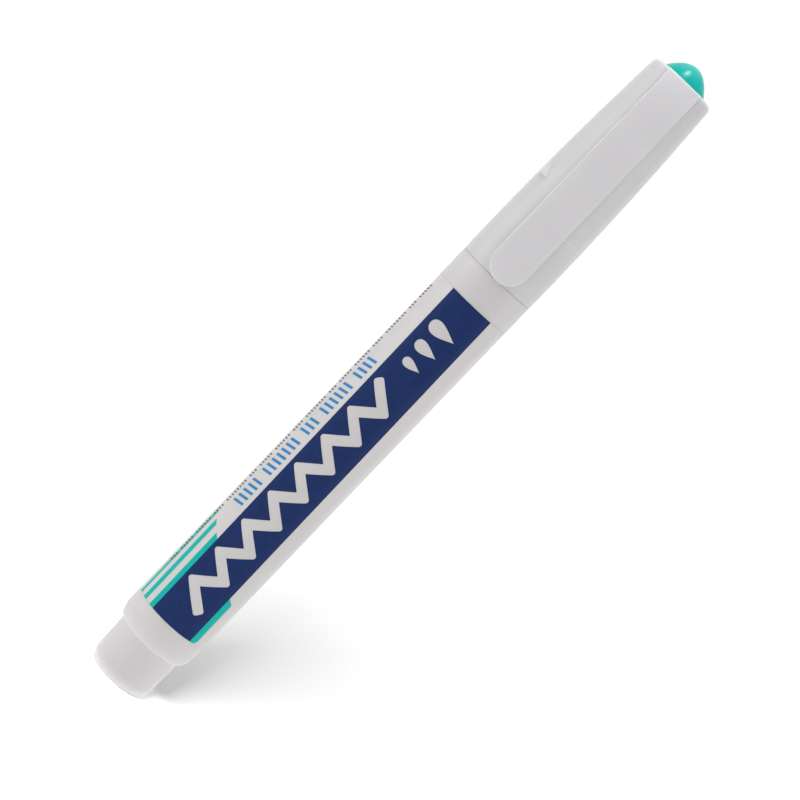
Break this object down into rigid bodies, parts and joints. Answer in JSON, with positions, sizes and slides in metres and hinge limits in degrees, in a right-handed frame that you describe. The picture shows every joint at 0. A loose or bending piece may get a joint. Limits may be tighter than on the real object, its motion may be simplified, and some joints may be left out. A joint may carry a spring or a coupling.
{
  "type": "correction pen",
  "caption": "Round squeeze-barrel correction pen with a ball-valve metal tip and a tapered pull-off cap with a flat pocket clip and a domed end.",
  "frame": {"origin": "centre of the flat end of the tail", "axes": "+Z along the pen's axis from the tail to the cap, -Y towards the clip"},
  "size_m": [0.0146, 0.0169, 0.1398],
  "materials": {
    "barrel_plastic": "soft polyethylene, blow moulded, satin",
    "label_film": "white printed film, semi-gloss",
    "ball_steel": "polished ball",
    "nose_plastic": "glossy moulded polypropylene",
    "tip_metal": "turned nickel silver",
    "ball_carbide": "ground carbide",
    "valve_steel": "drawn stainless wire and rod",
    "seat_plastic": "moulded acetal",
    "cap_plastic": "moulded polypropylene, fine satin",
    "liner_plastic": "natural polyethylene",
    "pad_rubber": "soft sealing pad",
    "dome_plastic": "glossy tinted polystyrene"
  },
  "bodies": {
    "pen": {"barrel": "barrel_plastic", "label": "label_film", "nose": "nose_plastic", "tip": "tip_metal", "spring_seat": "seat_plastic", "valve_spring": "valve_steel"},
    "stirrer": {"mixing_ball": "ball_steel"},
    "valve": {"valve_pin": "valve_steel"},
    "ball": {"writing_ball": "ball_carbide"},
    "liner": {"inner_cap": "liner_plastic", "tip_seal": "pad_rubber"},
    "cap": {"cap_body": "cap_plastic", "end_plug": "dome_plastic"},
    "clip": {"clip": "cap_plastic"}
  },
  "joints": [
    {"name": "cap_pull", "type": "slide", "parent": "pen", "child": "liner", "axis": [0, 0, 1], "range_m": [0, 0.045]},
    {"name": "cap_turn", "type": "hinge", "parent": "liner", "child": "cap", "pos_m": [0, 0, 0.11], "axis": [0, 0, 1], "continuous": true},
    {"name": "clip_flex", "type": "hinge", "parent": "cap", "child": "clip", "pos_m": [0, -0.005, 0.1367], "axis": [-1, 0, 0], "range_deg": [0, 3], "stiffness_Nm_per_rad": 1},
    {"name": "valve_press", "type": "slide", "parent": "pen", "child": "valve", "axis": [0, 0, -1], "range_m": [0, 0.00015], "stiffness_N_per_m": 200, "springref_m": -0.002, "deforming": ["valve_spring"]},
    {"name": "ball_roll", "type": "hinge", "parent": "valve", "child": "ball", "pos_m": [0, 0, 0.11767], "axis": [1, 0, 0], "continuous": true},
    {"name": "stirrer_shake", "type": "slide", "parent": "pen", "child": "stirrer", "axis": [0, 0, 1], "range_m": [0, 0.085]}
  ]
}
